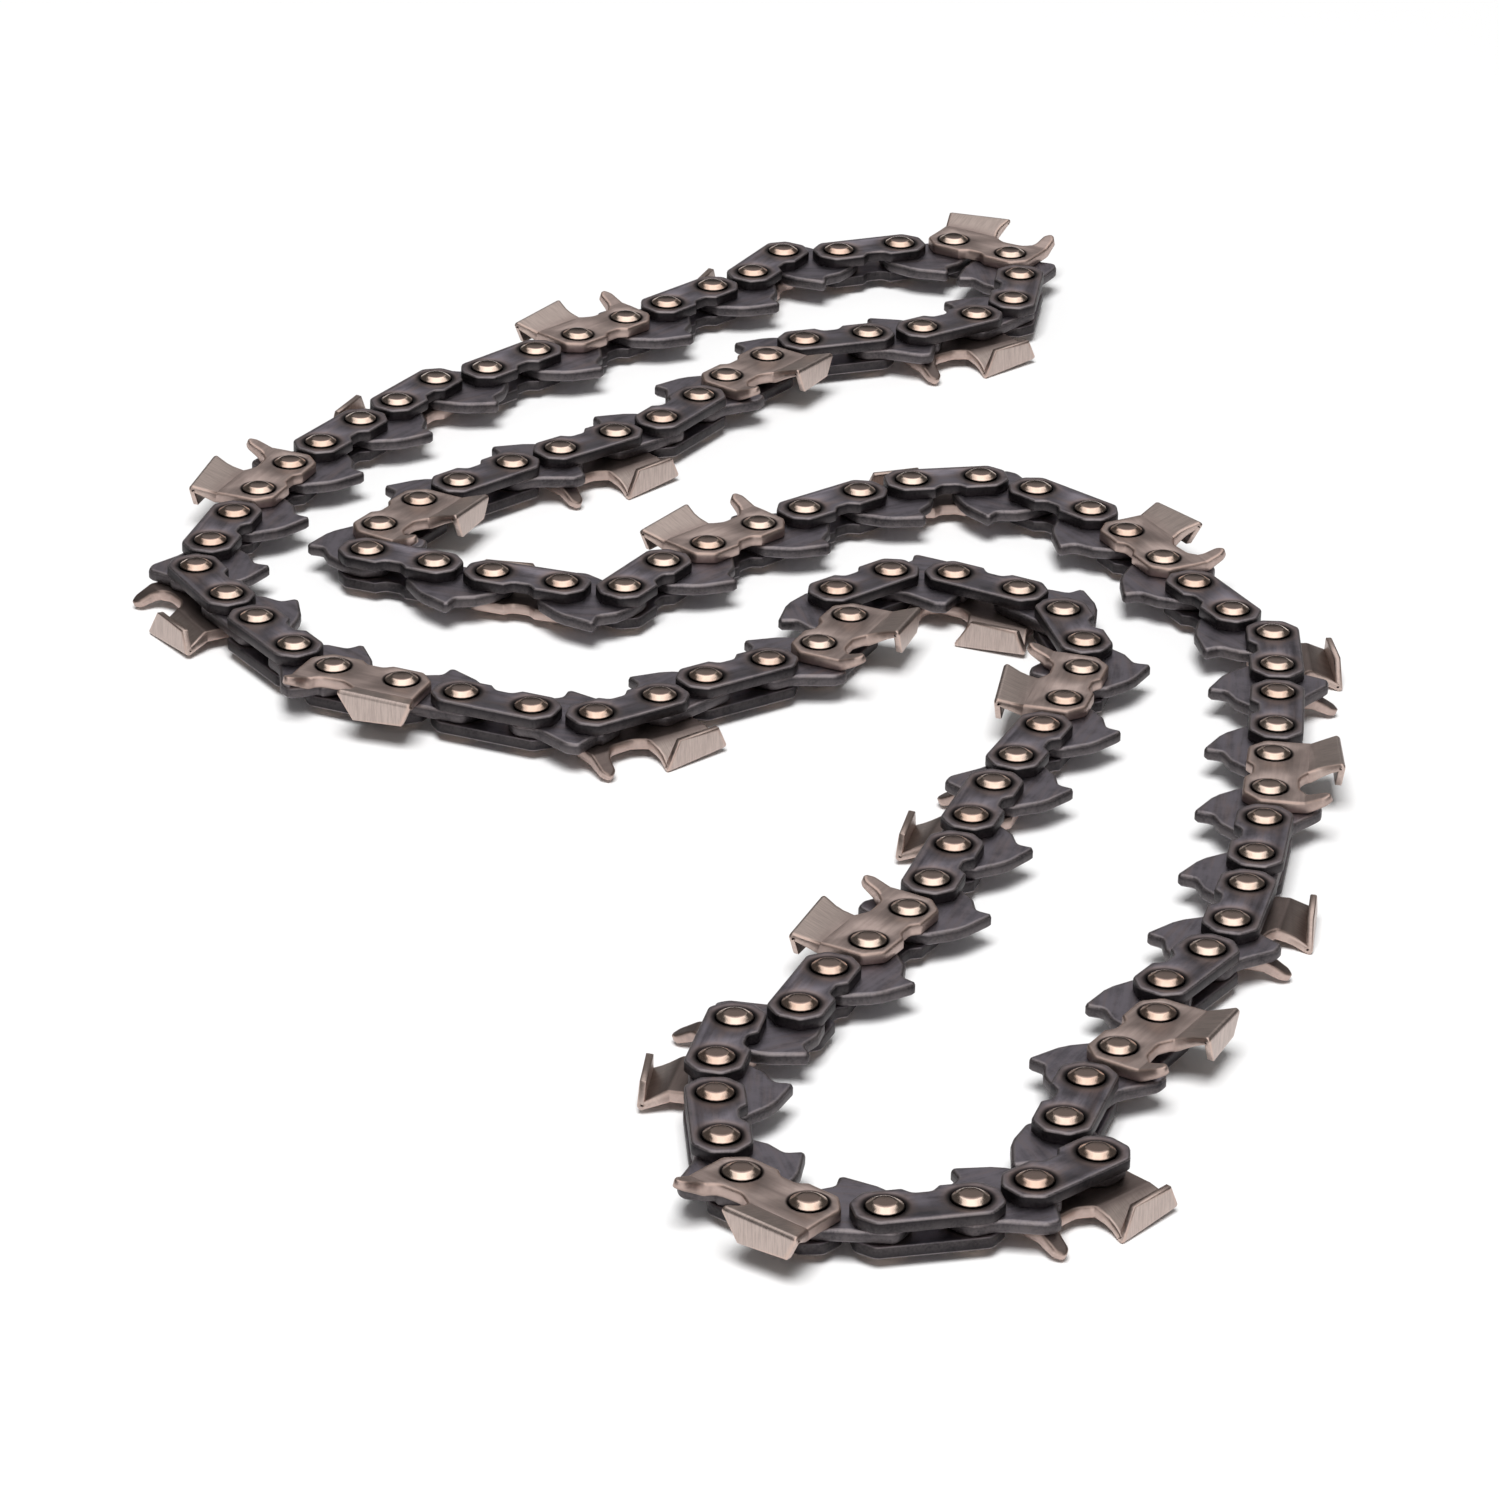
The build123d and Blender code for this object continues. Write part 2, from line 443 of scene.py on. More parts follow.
@dataclass
class StampedPlate:
    """Plate stamped from sheet: rolled edges, countersunk holes and the marks of its wear."""

    name: str
    corners: list[Corner]
    thickness: float
    holes: list[Hole]
    rolled_edge: float = 0.24
    back_edge: float = 0.12
    worn_band: float = 0.22
    back_wear: float = 0.4
    foot_wear: float = 0.2
    wall_wear: float = 0.06
    face_wear: float = 0.5
    crest: float = 0.3
    crest_wall: float = 0.2
    sharp_angle: float = 62.0
    hole_sides: int = 18
    weld: float = 1e-4

    def build(self, row: Row) -> Mesh:
        """Make the plate's mesh.

        Args:
            row: The upper row faces up, and the lower row is its mirror image.

        Returns:
            The mesh, in metres, with its inner face at height zero.
        """
        sheet = bmesh.new()
        for mark in (Mark.WEAR, Mark.WALL, Mark.PLATING):
            sheet.verts.layers.float.new(mark.value)
        sheet.verts.layers.float_vector.new(Mark.PLACE.value)
        outline = Outline(self.corners)
        loops = [self._loop(sheet, outline.ring(ring.inset), ring) for ring in self._rings()]
        bridge(sheet, loops)
        for hole in self.holes:
            self._bore(sheet, hole)
        bmesh.ops.remove_doubles(sheet, verts=sheet.verts, dist=self.weld)
        for height in (0.0, self.thickness):
            mouth = [edge for edge in sheet.edges if edge.is_boundary and self._level(edge, height)]
            bmesh.ops.triangle_fill(sheet, edges=mouth, use_beauty=True)
        self.form(sheet)
        if row is Row.LOWER:
            bmesh.ops.scale(sheet, vec=(1.0, 1.0, -1.0), verts=sheet.verts)
        mesh = plain_mesh(sheet, f"{self.name}_{row.name.lower()}")
        mesh.set_sharp_from_angle(angle=math.radians(self.sharp_angle))
        return mesh

    def _rings(self) -> list[Ring]:
        """Step round the edge.

        Returns:
            Rings from the inner face to the outer face.
        """
        top, edge, back = self.thickness, self.rolled_edge, self.back_edge
        return [
            Ring(back + self.worn_band, 0.0, 0.0),
            Ring(back, 0.0, self.back_wear),
            Ring(0.0, back, self.wall_wear + self.foot_wear, 1.0),
            Ring(0.0, top - edge, self.wall_wear, 1.0),
            Ring(edge * self.crest, top - edge * self.crest, 1.0, self.crest_wall),
            Ring(edge, top, self.face_wear),
            Ring(edge + self.worn_band, top, 0.0),
        ]

    def _level(self, edge: BMEdge, height: float) -> bool:
        """Whether an edge lies at a height."""
        return all(abs(vert.co.z - height) < self.weld for vert in edge.verts)

    def form(self, sheet: BMesh) -> None:
        """Note each point's place on the flat plate; a bent plate adds to this."""
        place = sheet.verts.layers.float_vector[Mark.PLACE.value]
        for vert in sheet.verts:
            vert[place] = vert.co

    def _loop(self, sheet: BMesh, points: Iterable[Vector], ring: Ring) -> list[BMVert]:
        """Add a ring of points.

        Args:
            sheet: The plate so far.
            points: Places of the points on the sheet.
            ring: Their height, wear and share of cut wall.

        Returns:
            The points.
        """
        wear = sheet.verts.layers.float[Mark.WEAR.value]
        wall = sheet.verts.layers.float[Mark.WALL.value]
        loop = []
        for point in points:
            vert = sheet.verts.new((point.x, point.y, ring.height))
            vert[wear] = ring.wear_and_rise
            vert[wall] = ring.wall
            loop.append(vert)
        return loop

    def _bore(self, sheet: BMesh, hole: Hole) -> None:
        """Add the wall of a hole, with its countersunk mouth where it has one.

        Args:
            sheet: The plate so far.
            hole: The hole.
        """
        angles = [math.tau * i / self.hole_sides for i in range(self.hole_sides)]
        spokes = [Vector((math.cos(a), math.sin(a))) for a in angles]
        centre = Vector((hole.x, hole.y))
        steps = [(hole.radius, 0.0), (hole.radius, self.thickness - hole.sink)]
        if hole.sink > 0:
            steps.append((hole.mouth, self.thickness))
        loops = []
        for radius, height in steps:
            ring = [centre + spoke * radius for spoke in spokes]
            loops.append(self._loop(sheet, ring, Ring(0.0, height, 0.0)))
        bridge(sheet, loops)


@dataclass(kw_only=True)
class BentCutter(StampedPlate):
    """Cutter: a stamped plate, set outwards at its edge and folded over behind as the top plate."""

    fold: list[Vector]
    fold_start: float
    edge_x: float
    heel_x: float
    top_thickness: float
    gullet_x: float = -3.0
    heel_drop: float = 0.6
    heel_fall: float = 1.0
    thin_from: float = 4.6
    thin_to: float = 8.0
    plated_from: float = 4.5
    plated_to: float = 5.2
    cut_error: float = 1e-5

    def form(self, sheet: BMesh) -> None:
        """Bend the depth gauge and the cutting part along the section; only the latter is plated.

        Args:
            sheet: The flat plate.
        """
        reaches = [0.0]
        for a, b in zip(self.fold, self.fold[1:]):
            reaches.append(reaches[-1] + (b - a).length)
        for reach in reaches[:-1]:
            geometry = list(sheet.verts) + list(sheet.edges) + list(sheet.faces)
            cut = Vector((0.0, -(self.fold_start + reach), 0.0))
            across = Vector((0.0, 1.0, 0.0))
            bmesh.ops.bisect_plane(sheet, geom=geometry, dist=self.cut_error, plane_co=cut, plane_no=across)
        super().form(sheet)
        plating = sheet.verts.layers.float[Mark.PLATING.value]
        for vert in sheet.verts:
            out = -vert.co.y
            if out <= self.fold_start:
                continue
            if vert.co.x > self.gullet_x:
                vert[plating] = fraction(out, self.plated_from, self.plated_to)
            vert.co = self._folded(vert.co, reaches)

    def _folded(self, point: Vector, reaches: Sequence[float]) -> Vector:
        """Carry a point of the flat sheet to its place on the bent section.

        Args:
            point: Point of the flat sheet.
            reaches: Length along the section at each of its points.

        Returns:
            The bent point.
        """
        out = -point.y
        reach = min(out - self.fold_start, reaches[-1])
        last = len(reaches) - 2
        step = next((i for i in range(last + 1) if reach <= reaches[i + 1] + self.weld), last)
        part = fraction(reach, reaches[step], reaches[step + 1])
        base = self.fold[step].lerp(self.fold[step + 1], part)
        outwards = self._outwards(step).lerp(self._outwards(step + 1), part)
        thin = fraction(out, self.thin_from, self.thin_to)
        thickness = self.thickness + (self.top_thickness - self.thickness) * thin
        offset = (point.z / self.thickness - 0.5) * thickness
        bent = base + outwards * offset
        relief = fraction(point.x, self.edge_x, self.heel_x) * fraction(reach, 0.0, reaches[-2])
        return Vector((point.x, bent.x + self.heel_fall * relief, bent.y - self.heel_drop * relief))

    def _outwards(self, index: int) -> Vector:
        """Outward direction of the section at one of its points, mitred between the runs there."""
        near = self.fold[max(0, index - 1):index + 2]
        sides = [Vector((b.y - a.y, a.x - b.x)).normalized() for a, b in zip(near, near[1:])]
        return (sides[0] + sides[-1]) / (1 + sides[0].dot(sides[-1]))


@dataclass
class Rivet:
    """Rivet with a spun head at each end."""

    sizes: ChainSizes
    shank: float = 1.93
    sides: int = 20
    head: tuple[tuple[float, float], ...] = (
        (2.05, 0.02), (1.93, 0.1), (1.62, 0.3), (1.34, 0.46), (1.16, 0.53), (0.9, 0.56),
    )

    def build(self) -> Mesh:
        """Spin the rivet's profile.

        Returns:
            The mesh, in metres, with its middle at height zero.
        """
        shell = bmesh.new()
        wear = shell.verts.layers.float.new(Mark.WEAR.value)
        place = shell.verts.layers.float_vector.new(Mark.PLACE.value)
        half = self.sizes.gauge / 2 + self.sizes.plate
        upper = [(self.shank, half)] + [(radius, half + rise) for radius, rise in self.head]
        profile = [(radius, -height) for radius, height in reversed(upper)] + upper
        loops = []
        for radius, height in profile:
            ring = []
            for side in range(self.sides):
                angle = math.tau * side / self.sides
                ring.append(shell.verts.new((radius * math.cos(angle), radius * math.sin(angle), height)))
            loops.append(ring)
        bridge(shell, loops)
        summit = half + self.sizes.head_height
        for ring, height in ((loops[0], -summit), (loops[-1], summit)):
            pole = shell.verts.new((0.0, 0.0, height))
            for index in range(self.sides):
                shell.faces.new((ring[index], ring[(index + 1) % self.sides], pole))
        for vert in shell.verts:
            vert[place] = vert.co
            # The wear mark holds the head's rise, by which the finish paints highlight and shade.
            vert[wear] = fraction(abs(vert.co.z), half, summit)
        return plain_mesh(shell, "rivet_master")


Number = Union[int, float]
Colour = tuple[float, float, float, float]
Pair = tuple[float, float]
Triple = tuple[float, float, float]


def tint(red: float, green: float, blue: float) -> Colour:
    """Opaque linear colour."""
    return (red, green, blue, 1.0)


@dataclass(frozen=True)
class Noise:
    """Grain of a cloudy pattern, drawn out along the axes where its stretch is small."""

    scale: float = 1.0
    detail: float = 3.0
    roughness: float = 0.5
    stretch: Triple = (1.0, 1.0, 1.0)


@dataclass(frozen=True)
class Layer:
    """Colour that comes up as a value goes from the start of a ramp to its stop."""

    colour: Colour
    start: float
    stop: float
    share: float = 1.0


class Wire:
    """A socket that carries a value, with Python's operators."""

    def __init__(self, graph: "Graph", socket: NodeSocket) -> None:
        """Wrap an output socket of a graph's node."""
        self.graph = graph
        self.socket = socket

    def _math(self, operation: str, first: Any, second: Any) -> "Wire":
        """Add a Math node."""
        return self.graph.add("ShaderNodeMath", {0: first, 1: second}, operation=operation)

    def __add__(self, other: Any) -> "Wire":
        """Sum."""
        return self._math("ADD", self, other)

    def __sub__(self, other: Any) -> "Wire":
        """Difference."""
        return self._math("SUBTRACT", self, other)

    def __rsub__(self, other: Number) -> "Wire":
        """Difference from a number."""
        return self._math("SUBTRACT", other, self)

    def __mul__(self, other: Any) -> "Wire":
        """Product."""
        return self._math("MULTIPLY", self, other)

    __radd__ = __add__
    __rmul__ = __mul__

    def __abs__(self) -> "Wire":
        """Size without sign."""
        return self._math("ABSOLUTE", self, 0.0)

    def power(self, exponent: Number) -> "Wire":
        """Raise to a power."""
        return self._math("POWER", self, exponent)

    def ramp(self, start: Number, stop: Number) -> "Wire":
        """Rise smoothly from 0 to 1.

        Args:
            start: Value where the ramp is 0.
            stop: Value where it is 1, which may be the smaller.

        Returns:
            The ramp.
        """
        sockets = {"Value": self, "From Min": min(start, stop), "From Max": max(start, stop)}
        if start > stop:
            sockets.update({"To Min": 1.0, "To Max": 0.0})
        return self.graph.add("ShaderNodeMapRange", sockets, interpolation_type="SMOOTHSTEP")


class Graph:
    """Node tree built by expressions."""

    def __init__(self, tree: NodeTree) -> None:
        """Start from an empty tree."""
        self.tree = tree
        tree.nodes.clear()

    def add(self, kind: str, sockets: dict[Any, Any], output: Any = 0, **settings: Any) -> Wire:
        """Add any node.

        Args:
            kind: The node's type.
            sockets: Values or wires, by socket name, identifier or number.
            output: Name or number of the output that is wanted.
            settings: Properties of the node, set first.

        Returns:
            That output.
        """
        node = self.tree.nodes.new(kind)
        for key, value in settings.items():
            setattr(node, key, value)
        for key, value in sockets.items():
            self._feed(self._socket(node.inputs, key), value)
        return Wire(self, self._socket(node.outputs, output))

    def _socket(self, sockets: Any, key: Any) -> NodeSocket:
        """Find a socket by identifier, name or number."""
        for socket in sockets:
            if socket.identifier == key:
                return socket
        return sockets[key]

    def _feed(self, socket: NodeSocket, value: Any) -> None:
        """Link a wire to an input, or set its value."""
        if isinstance(value, Wire):
            self.tree.links.new(value.socket, socket)
        else:
            socket.default_value = value

    def mark(self, mark: Mark, output: str = "Fac") -> Wire:
        """Read a mesh attribute."""
        return self.add("ShaderNodeAttribute", {}, output, attribute_name=mark.value)

    def axes(self, vector: Wire) -> tuple[Wire, Wire, Wire]:
        """Split a vector into its three values."""
        first = self.add("ShaderNodeSeparateXYZ", {"Vector": vector})
        outputs = first.socket.node.outputs
        return first, Wire(self, outputs[1]), Wire(self, outputs[2])

    def vector(self, x: Any, y: Any, z: Any) -> Wire:
        """Join three values to a vector."""
        return self.add("ShaderNodeCombineXYZ", {"X": x, "Y": y, "Z": z})

    def noise(self, where: Wire, grain: Noise) -> Wire:
        """Cloudy noise between 0 and 1."""
        sockets = {"Scale": grain.scale, "Detail": grain.detail, "Roughness": grain.roughness}
        sockets["Vector"] = where
        return self.add("ShaderNodeTexNoise", sockets, "Fac", noise_dimensions="3D")

    def mix(self, factor: Any, first: Any, second: Any) -> Wire:
        """Blend two colours."""
        sockets = {"Factor_Float": factor, "A_Color": first, "B_Color": second}
        return self.add("ShaderNodeMix", sockets, "Result_Color", data_type="RGBA", clamp_factor=True)

    def cover(self, under: Any, layer: Layer, value: Wire, mask: Any = 1.0) -> Wire:
        """Lay a colour over another, as far as a value and a mask let it."""
        return self.mix(value.ramp(layer.start, layer.stop) * layer.share * mask, under, layer.colour)

    def end(self, kind: str, wire: Wire, socket: str = "Surface") -> None:
        """Link a wire to the tree's output."""
        output = self.tree.nodes.new(kind)
        self.tree.links.new(wire.socket, output.inputs[socket])


class Skin:
    """What a finish reads from the link that it lies on."""

    rub_speck: float = 0.9
    rub_cloud: float = 0.7

    def __init__(self, graph: Graph, cloud: Noise, speck: Noise) -> None:
        """Read the link's marks, and lay two patterns over it.

        Args:
            graph: Node tree of the finish.
            cloud: Grain of the broad pattern.
            speck: Grain of the fine pattern.
        """
        self.graph = graph
        self.x, self.y, self.z = graph.axes(graph.mark(Mark.PLACE, "Vector"))
        self.tone = graph.mark(Mark.TONE)
        # Edge wear on plates, the head's rise on rivets.
        self.wear_and_rise = graph.mark(Mark.WEAR)
        self.shift = self.tone * PATTERN_SHIFT
        loose = graph.vector(self.x + self.shift, self.y + self.shift, self.z)
        self.cloud = graph.noise(loose, cloud)
        self.speck = graph.noise(loose, speck)
        self.rub = self.speck * self.rub_speck + self.cloud * self.rub_cloud

    def streaks(self, grain: Noise) -> Wire:
        """Pattern in long marks."""
        x, y, z = [axis * share for axis, share in zip((self.x, self.y, self.z), grain.stretch)]
        return self.graph.noise(self.graph.vector(x + self.shift, y, z + self.shift), grain)

    def from_rivet(self, half_spacing: float) -> Wire:
        """Distance from the nearer of two rivets."""
        apart = abs(self.x) - half_spacing
        return (apart * apart + self.y * self.y).power(0.5)


@dataclass(frozen=True)
class Steel(ABC):
    """What the finishes share: two patterns, and a metal shader at the end."""

    name: str
    cloud: Noise
    speck: Noise
    rough: float
    rough_speck: float
    bump_strength: float
    bump_depth: float

    def make(self) -> Material:
        """Build the material.

        Returns:
            The material.
        """
        material = bpy.data.materials.new(self.name)
        material.use_nodes = True
        graph = Graph(material.node_tree)
        colour, rough, height = self.paint(Skin(graph, self.cloud, self.speck))
        relief = {"Height": height, "Strength": self.bump_strength, "Distance": self.bump_depth}
        normal = graph.add("ShaderNodeBump", relief)
        sockets = {"Base Color": colour, "Roughness": rough, "Metallic": 1.0, "Normal": normal}
        shader = graph.add("ShaderNodeBsdfPrincipled", sockets)
        graph.end("ShaderNodeOutputMaterial", shader)
        return material

    @abstractmethod
    def paint(self, skin: Skin) -> tuple[Wire, Wire, Wire]:
        """Work out the finish of a link.

        Args:
            skin: What the finish reads from the link.

        Returns:
            Colour, roughness and height.
        """


@dataclass(frozen=True)
class BluedSteel(Steel):
    """Oil-blued steel: rolling streaks, brown temper and painted shade round the rivets, darkened walls,
    edge wear.
    """

    name: str = "blued_steel"
    cloud: Noise = Noise(0.45)
    speck: Noise = Noise(3.2, 4.0, 0.62)
    streak: Noise = Noise(1.0, 3.0, 0.6, (0.1, 1.1, 0.6))
    patch: Noise = Noise(1.0, 2.0, 0.5, (0.12, 0.9, 0.6))
    mottle: Triple = (0.6, 0.5, 0.25)  # shares of streak, cloud and speck
    half_spacing: float = ChainSizes.strap_spacing / 2
    slate: Colour = tint(0.24, 0.218, 0.25)
    black: Colour = tint(0.012, 0.011, 0.013)
    hue: Layer = Layer(tint(0.3, 0.22, 0.195), 0.45, 0.75, 0.4)
    shade: Layer = Layer(tint(0.12, 0.11, 0.127), 0.78, 0.42)
    temper: Layer = Layer(tint(0.3, 0.22, 0.195), 3.7, 2.2)
    # Painted shade: the plate goes black round each rivet hole, where the head meets it.
    rivet_shade: Layer = Layer(tint(0.012, 0.011, 0.013), 2.85, 2.2, 0.9)
    bare: Layer = Layer(tint(0.36, 0.32, 0.32), 0.3, 1.05)
    halo: float = 0.7
    halo_floor: float = 0.4
    # Cut walls go black, partly as black oxide of the sheared sides and partly as painted shade.
    wall_oxide_and_shade: float = 0.95
    rough: float = 0.34
    rough_speck: float = 0.2
    rough_wall: float = 0.12
    bump_strength: float = 0.16
    bump_depth: float = 0.00012
    speck_height: float = 0.6

    def paint(self, skin: Skin) -> tuple[Wire, Wire, Wire]:
        """Lay temper, painted shade on the walls and round the rivets, and wear over mottled streaks."""
        graph = skin.graph
        wall = graph.mark(Mark.WALL)
        streak = skin.streaks(self.streak)
        along, across, deep = self.patch.stretch
        where = graph.vector(skin.x * along - skin.shift, skin.y * across + skin.shift, skin.z * deep)
        mottle = streak * self.mottle[0] + skin.cloud * self.mottle[1] + skin.speck * self.mottle[2]
        distance = skin.from_rivet(self.half_spacing)
        colour = graph.cover(self.slate, self.hue, graph.noise(where, self.patch))
        colour = graph.cover(colour, self.shade, mottle)
        colour = graph.cover(colour, self.temper, distance, self.halo * (self.halo_floor + skin.cloud))
        # Darken the cut walls: part black oxide, part painted shade.
        colour = graph.mix(wall * self.wall_oxide_and_shade, colour, self.black)
        # Painted shade round the rivets.
        colour = graph.cover(colour, self.rivet_shade, distance)
        colour = graph.cover(colour, self.bare, skin.rub, skin.wear_and_rise)
        rough = self.rough + skin.speck * self.rough_speck + wall * self.rough_wall
        return colour, rough, skin.speck * self.speck_height + streak


@dataclass(frozen=True)
class CutterSteel(Steel):
    """Warm grey tempered steel, with a hard chromed top plate and bright ground edges."""

    name: str = "cutter_steel"
    cloud: Noise = Noise(0.4)
    speck: Noise = Noise(2.6, 4.0, 0.6)
    streak: Noise = Noise(1.0, 4.0, 0.6, (0.2, 2.0, 1.0))
    brush: Noise = Noise(1.0, 4.0, 0.65, (7.0, 0.35, 1.0))
    mottle: Pair = (0.7, 0.5)  # shares of streak and cloud
    half_spacing: float = ChainSizes.strap_spacing / 2
    shade: Colour = tint(0.4, 0.315, 0.29)
    grind: Colour = tint(0.42, 0.345, 0.315)
    body: Layer = Layer(tint(0.54, 0.435, 0.4), 0.4, 0.85)
    # Painted shade: the plate's inner face goes dark.
    inside_shade: Layer = Layer(tint(0.06, 0.046, 0.042), 0.35, 0.05, 0.62)
    # Painted shade: the plate goes dark round each rivet hole.
    rivet_shade: Layer = Layer(tint(0.02, 0.016, 0.016), 2.45, 2.15, 0.92)
    chrome: Layer = Layer(tint(0.56, 0.465, 0.425), 0.34, 0.62)
    bare: Layer = Layer(tint(0.66, 0.49, 0.42), 0.25, 0.95, 0.85)
    plated: float = 0.94
    plated_shine: float = 0.14
    rough: float = 0.4
    rough_speck: float = 0.16
    bump_strength: float = 0.14
    bump_depth: float = 0.0001
    streak_height: float = 0.5
    speck_height: float = 0.4

    def paint(self, skin: Skin) -> tuple[Wire, Wire, Wire]:
        """Lay painted shade inside and round the rivets, brushed chrome and wear over mottled streaks."""
        graph = skin.graph
        plating = graph.mark(Mark.PLATING)
        streak, brushed = skin.streaks(self.streak), skin.streaks(self.brush)
        mottle = streak * self.mottle[0] + skin.cloud * self.mottle[1]
        colour = graph.cover(self.shade, self.body, mottle)
        # Painted shade on the inner face.
        colour = graph.cover(colour, self.inside_shade, skin.z)
        # Painted shade round the rivets.
        colour = graph.cover(colour, self.rivet_shade, skin.from_rivet(self.half_spacing))
        colour = graph.mix(plating * self.plated, colour, graph.cover(self.grind, self.chrome, brushed))
        colour = graph.cover(colour, self.bare, skin.rub, skin.wear_and_rise)
        shine = plating * (self.plated_shine - brushed * self.plated_shine)
        rough = self.rough + skin.speck * self.rough_speck - shine
        height = streak * self.streak_height + skin.speck * self.speck_height + plating * brushed
        return colour, rough, height


@dataclass(frozen=True)
class RivetSteel(Steel):
    """Tempered rivet heads: painted highlight on the flank, painted brown shade on top, painted dark shade
    at the foot.
    """

    name: str = "rivet_steel"
    cloud: Noise = Noise(0.9)
    speck: Noise = Noise(4.0, 4.0, 0.6)
    warmth: Pair = (0.7, 0.4)  # shares of cloud and tone
    # Painted highlight: the whole head starts as bright as its flank looks.
    bright: Colour = tint(0.9, 0.71, 0.6)
    copper: Layer = Layer(tint(0.78, 0.55, 0.44), 0.35, 0.85)
    # Painted shade: the top of the head goes dark brown.
    top_shade: Layer = Layer(tint(0.3, 0.22, 0.19), 0.84, 0.96)
    # Painted shade at the foot of the head, where it meets the plate.
    rivet_shade: Layer = Layer(tint(0.03, 0.025, 0.024), 0.26, 0.1)
    rough: float = 0.1
    rough_speck: float = 0.08
    bump_strength: float = 0.1
    bump_depth: float = 0.0001

    def paint(self, skin: Skin) -> tuple[Wire, Wire, Wire]:
        """Paint highlight and shade on the head by its rise, which its wear mark holds."""
        graph = skin.graph
        warmth = skin.cloud * self.warmth[0] + skin.tone * self.warmth[1]
        # Painted highlight as the base, under a copper tone that varies from head to head.
        colour = graph.cover(self.bright, self.copper, warmth)
        # Painted brown shade on the top of the head.
        colour = graph.cover(colour, self.top_shade, skin.wear_and_rise)
        # Painted dark shade at the foot of the head.
        colour = graph.cover(colour, self.rivet_shade, skin.wear_and_rise)
        return colour, self.rough + skin.speck * self.rough_speck, skin.speck


@dataclass(frozen=True)
class LinkRow:
    """One kind of link, set along the lay by Geometry Nodes and made a plain mesh."""

    name: str
    stem: str
    slot: Slot
    master: Mesh
    material: Material
    height: float
    seats: list[Seat]

    def lay_out(self, draw: random.Random) -> Object:
        """Set a copy on each seat.

        Args:
            draw: Source of each link's tone.

        Returns:
            The piece, as a plain mesh at the origin.
        """
        piece = put(self.name, self._points(draw))
        model = put(f"{self.name}_master", self.master)
        modifier = piece.modifiers.new("links", "NODES")
        tree, inputs = self._tree()
        modifier.node_group = tree
        modifier[inputs["Link"]] = model
        modifier[inputs["Finish"]] = self.material
        modifier[inputs["Height"]] = self.height * MM
        bpy.context.view_layer.update()
        graph = bpy.context.evaluated_depsgraph_get()
        made = bpy.data.meshes.new_from_object(
            piece.evaluated_get(graph), preserve_all_data_layers=True, depsgraph=graph
        )
        piece.modifiers.remove(modifier)
        seed_points = piece.data
        piece.data = made
        made.name = self.name
        bpy.data.meshes.remove(seed_points)
        bpy.data.objects.remove(model)
        bpy.data.node_groups.remove(tree)
        return piece

    def hand_over(self, piece: Object) -> None:
        """Tie the piece to the frame: body and replaced solids."""
        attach(piece, "root")
        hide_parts(*[node for node in sorted(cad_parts) if node.startswith(self.stem)])

    def _points(self, draw: random.Random) -> Mesh:
        """Mark the seats.

        Args:
            draw: Source of each link's tone.

        Returns:
            Mesh of bare points, each with a heading and a tone.
        """
        mesh = bpy.data.meshes.new(f"{self.name}_seats")
        mesh.from_pydata([(seat.x * MM, seat.y * MM, 0.0) for seat in self.seats], [], [])
        heading = mesh.attributes.new(Mark.HEADING.value, "FLOAT", "POINT")
        heading.data.foreach_set("value", [seat.heading for seat in self.seats])
        tone = mesh.attributes.new(Mark.TONE.value, "FLOAT", "POINT")
        tone.data.foreach_set("value", [draw.random() for _ in self.seats])
        return mesh

    def _tree(self) -> tuple[NodeTree, dict[str, str]]:
        """Node tree that sets the link on each point.

        Returns:
            The tree, and the identifier of each input by its name.
        """
        tree = bpy.data.node_groups.new(f"{self.name}_tree", "GeometryNodeTree")
        face = tree.interface
        kinds = {"Seats": "Geometry", "Link": "Object", "Finish": "Material", "Height": "Float"}
        for name, kind in kinds.items():
            face.new_socket(name, in_out="INPUT", socket_type=f"NodeSocket{kind}")
        face.new_socket("Links", in_out="OUTPUT", socket_type="NodeSocketGeometry")
        inputs = {item.name: item.identifier for item in face.items_tree if item.in_out == "INPUT"}
        graph = Graph(tree)
        given = {name: graph.add("NodeGroupInput", {}, name) for name in kinds}
        lift = graph.vector(0.0, 0.0, given["Height"])
        raised = graph.add("GeometryNodeSetPosition", {"Geometry": given["Seats"], "Offset": lift})
        named = {"Name": Mark.HEADING.value}
        heading = graph.add("GeometryNodeInputNamedAttribute", named, data_type="FLOAT")
        turn = graph.vector(0.0, 0.0, heading)
        model = graph.add("GeometryNodeObjectInfo", {"Object": given["Link"]}, "Geometry")
        placing = {"Points": raised, "Instance": model, "Rotation": turn}
        copies = graph.add("GeometryNodeInstanceOnPoints", placing)
        real = graph.add("GeometryNodeRealizeInstances", {"Geometry": copies})
        dressing = {"Geometry": real, "Material": given["Finish"]}
        graph.end("NodeGroupOutput", graph.add("GeometryNodeSetMaterial", dressing), "Links")
        return tree, inputs


